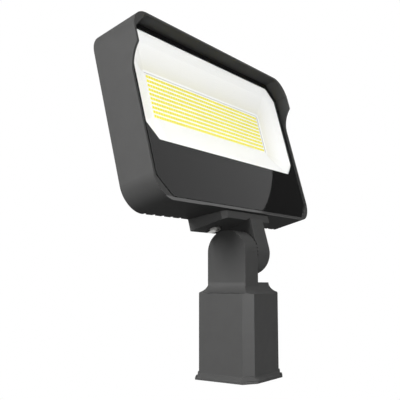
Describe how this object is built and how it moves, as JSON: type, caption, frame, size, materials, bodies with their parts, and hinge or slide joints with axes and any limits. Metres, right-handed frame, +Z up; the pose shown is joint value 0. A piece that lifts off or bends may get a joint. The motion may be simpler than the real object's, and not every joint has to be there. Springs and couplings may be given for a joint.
{
  "type": "led flood light",
  "caption": "Rectangular flood light head with rows of light chips behind glass, a visor and a toothed tilting knuckle on a slipfitter socket for a round pole top.",
  "frame": {"origin": "middle of the open lower mouth of the pole top socket", "axes": "+Z up along the socket, the light faces -Y and leans back, +X across to the right as seen from the front"},
  "size_m": [0.319, 0.118, 0.3765],
  "materials": {
    "housing": "fine textured dark bronze powder coat on die cast aluminium",
    "glass_lens": "clear tempered glass",
    "lens_mask": "black print on the back of the glass",
    "lens_gasket": "grey silicone",
    "reflector": "white painted sheet",
    "small_screws": "zinc plated steel",
    "led_board": "white solder mask on an aluminium board",
    "heat_pad": "soft grey heat pad",
    "led_rows_lit": "yellow phosphor of the light chips",
    "driver": "light grey case",
    "surge_protector": "red plastic case",
    "terminal_block": "ivory plastic",
    "lead_red": "red wire cover",
    "lead_black": "black wire cover",
    "gland": "black nylon",
    "bracket": "fine textured dark bronze powder coat on die cast aluminium",
    "slipfitter": "fine textured dark bronze powder coat on die cast aluminium",
    "bolts": "stainless steel"
  },
  "bodies": {
    "base": {"slipfitter": "slipfitter", "knuckle_bolt": "bolts", "knuckle_washer": "bolts", "knuckle_lock_ring": "bolts"},
    "head": {"housing": "housing", "glass_lens": "glass_lens", "lens_mask": "lens_mask", "lens_gasket": "lens_gasket", "reflector": "reflector", "reflector_screws": "small_screws", "led_board": "led_board", "heat_pad": "heat_pad", "led_rows_lit": "led_rows_lit", "board_screws": "small_screws", "driver": "driver", "surge_protector": "surge_protector", "terminal_block": "terminal_block", "module_screws": "small_screws", "lead_red": "lead_red", "lead_black": "lead_black", "cable_gland": "gland", "gland_cap": "gland", "gland_nut": "gland", "vent_plug": "gland", "bracket": "bracket", "bracket_bolts": "bolts", "bracket_washers": "bolts"},
    "clamp_side_low": {"clamp_screw_side_low": "bolts"},
    "clamp_side_high": {"clamp_screw_side_high": "bolts"},
    "clamp_back_low": {"clamp_screw_back_low": "bolts"},
    "clamp_back_high": {"clamp_screw_back_high": "bolts"}
  },
  "joints": [
    {"name": "head_tilt", "type": "hinge", "parent": "base", "child": "head", "pos_m": [0, 0, 0.1358], "axis": [1, 0, 0], "range_deg": [-75, 105]},
    {"name": "clamp_side_low_slide", "type": "slide", "parent": "base", "child": "clamp_side_low", "axis": [-1, 0, 0], "range_m": [0, 0.004]},
    {"name": "clamp_side_high_slide", "type": "slide", "parent": "base", "child": "clamp_side_high", "axis": [-1, 0, 0], "range_m": [0, 0.004]},
    {"name": "clamp_back_low_slide", "type": "slide", "parent": "base", "child": "clamp_back_low", "axis": [0, -1, 0], "range_m": [0, 0.004]},
    {"name": "clamp_back_high_slide", "type": "slide", "parent": "base", "child": "clamp_back_high", "axis": [0, -1, 0], "range_m": [0, 0.004]}
  ]
}
